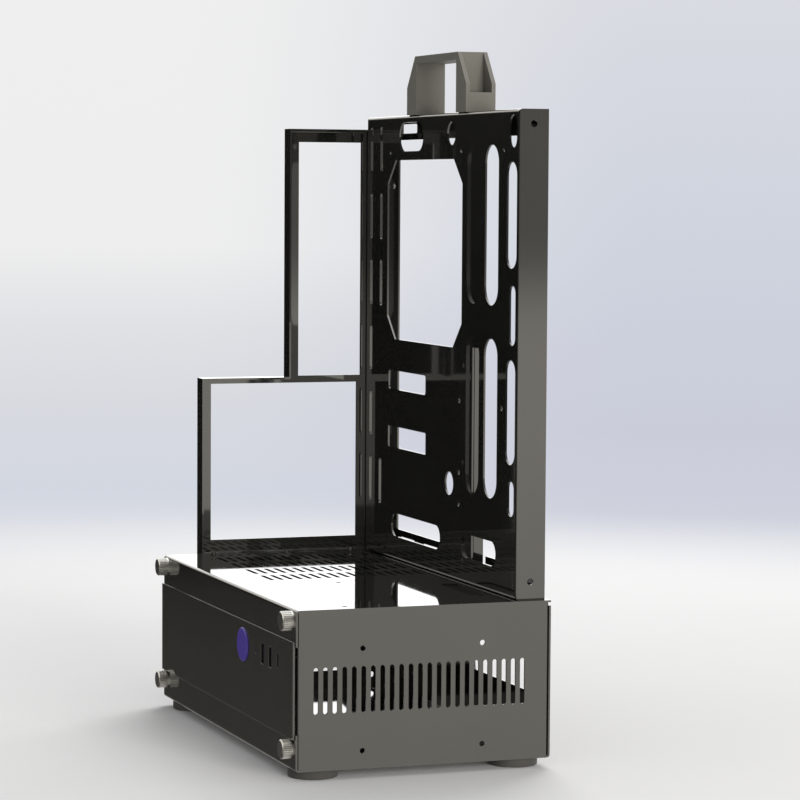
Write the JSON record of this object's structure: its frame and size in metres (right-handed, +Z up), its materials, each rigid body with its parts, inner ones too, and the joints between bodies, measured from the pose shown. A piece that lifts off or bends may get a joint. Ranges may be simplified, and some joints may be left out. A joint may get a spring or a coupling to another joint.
{
  "type": "open air test bench",
  "caption": "Open steel bench for a bare computer board: low ventilated box with control panel, upright folded board tray, stepped port frame and carrying handle.",
  "frame": {"origin": "on the floor, under the middle of the whole bench", "axes": "+X along the box to the vented end, +Y from the control panel to the back, +Z up"},
  "size_m": [0.2912, 0.1722, 0.4388],
  "materials": {
    "black_sheet": "gloss black",
    "plated_steel": "satin",
    "foot_rubber": "matte",
    "thumbscrew_metal": "satin nickel",
    "switch_plastic": "matte",
    "button_plastic": "semi gloss",
    "lens_plastic": "gloss",
    "port_shell": "satin",
    "board_laminate": "semi gloss",
    "handle_paint": "satin grey"
  },
  "bodies": {
    "bench": {"bottom_pan": "black_sheet", "top_plate": "black_sheet", "vented_side_panel": "black_sheet", "power_supply_side_panel": "black_sheet", "control_panel": "black_sheet", "motherboard_tray": "black_sheet", "tray_stiffener": "black_sheet", "rear_frame": "black_sheet", "back_screws": "plated_steel", "foot_screws": "plated_steel", "panel_studs": "plated_steel", "board_pillars": "plated_steel", "panel_nuts": "plated_steel", "switch_nuts": "plated_steel", "port_screws": "plated_steel", "tray_screws": "plated_steel", "stiffener_screws": "plated_steel", "frame_screws": "plated_steel", "frame_foot_screws": "plated_steel", "handle_screws": "plated_steel", "handle_nuts": "plated_steel", "foot_front_far": "foot_rubber", "foot_back_far": "foot_rubber", "foot_front_near": "foot_rubber", "foot_back_near": "foot_rubber", "thumbscrews": "thumbscrew_metal", "switch_housing": "switch_plastic", "indicator_lens": "lens_plastic", "usb_a_port_left": "port_shell", "usb_a_port_right": "port_shell", "usb_c_port": "port_shell", "port_board": "board_laminate", "handle": "handle_paint"},
    "button": {"power_button": "button_plastic"}
  },
  "joints": [
    {"name": "button_press", "type": "slide", "parent": "bench", "child": "button", "axis": [0, 1, 0], "range_m": [0, 0.0015], "stiffness_N_per_m": 1200, "springref_m": -0.001}
  ]
}
